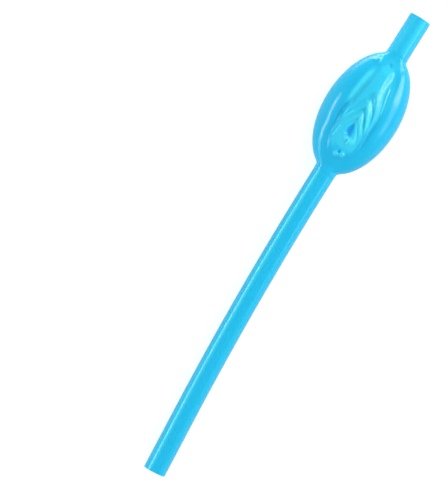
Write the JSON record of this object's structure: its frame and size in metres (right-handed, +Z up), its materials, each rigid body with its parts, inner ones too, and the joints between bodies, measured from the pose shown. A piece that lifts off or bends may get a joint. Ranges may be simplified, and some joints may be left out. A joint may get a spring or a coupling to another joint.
{
  "type": "drinking straw",
  "caption": "Blown plastic drinking straw with a hollow flattened oval bulb near its mouth end, the bulb's front moulded with nested folds in relief.",
  "frame": {"origin": "on the table, under the middle of the straw's length and width", "axes": "+X along the straw towards the mouth end, +Y across, +Z up; the straw lies on the bulb's back and the foot's rim, with the moulded front up"},
  "size_m": [0.216, 0.0324, 0.019],
  "materials": {
    "straw_plastic": "smooth glossy bright blue, slightly translucent blown plastic"
  },
  "bodies": {
    "root": {"straw": "straw_plastic"}
  },
  "joints": []
}
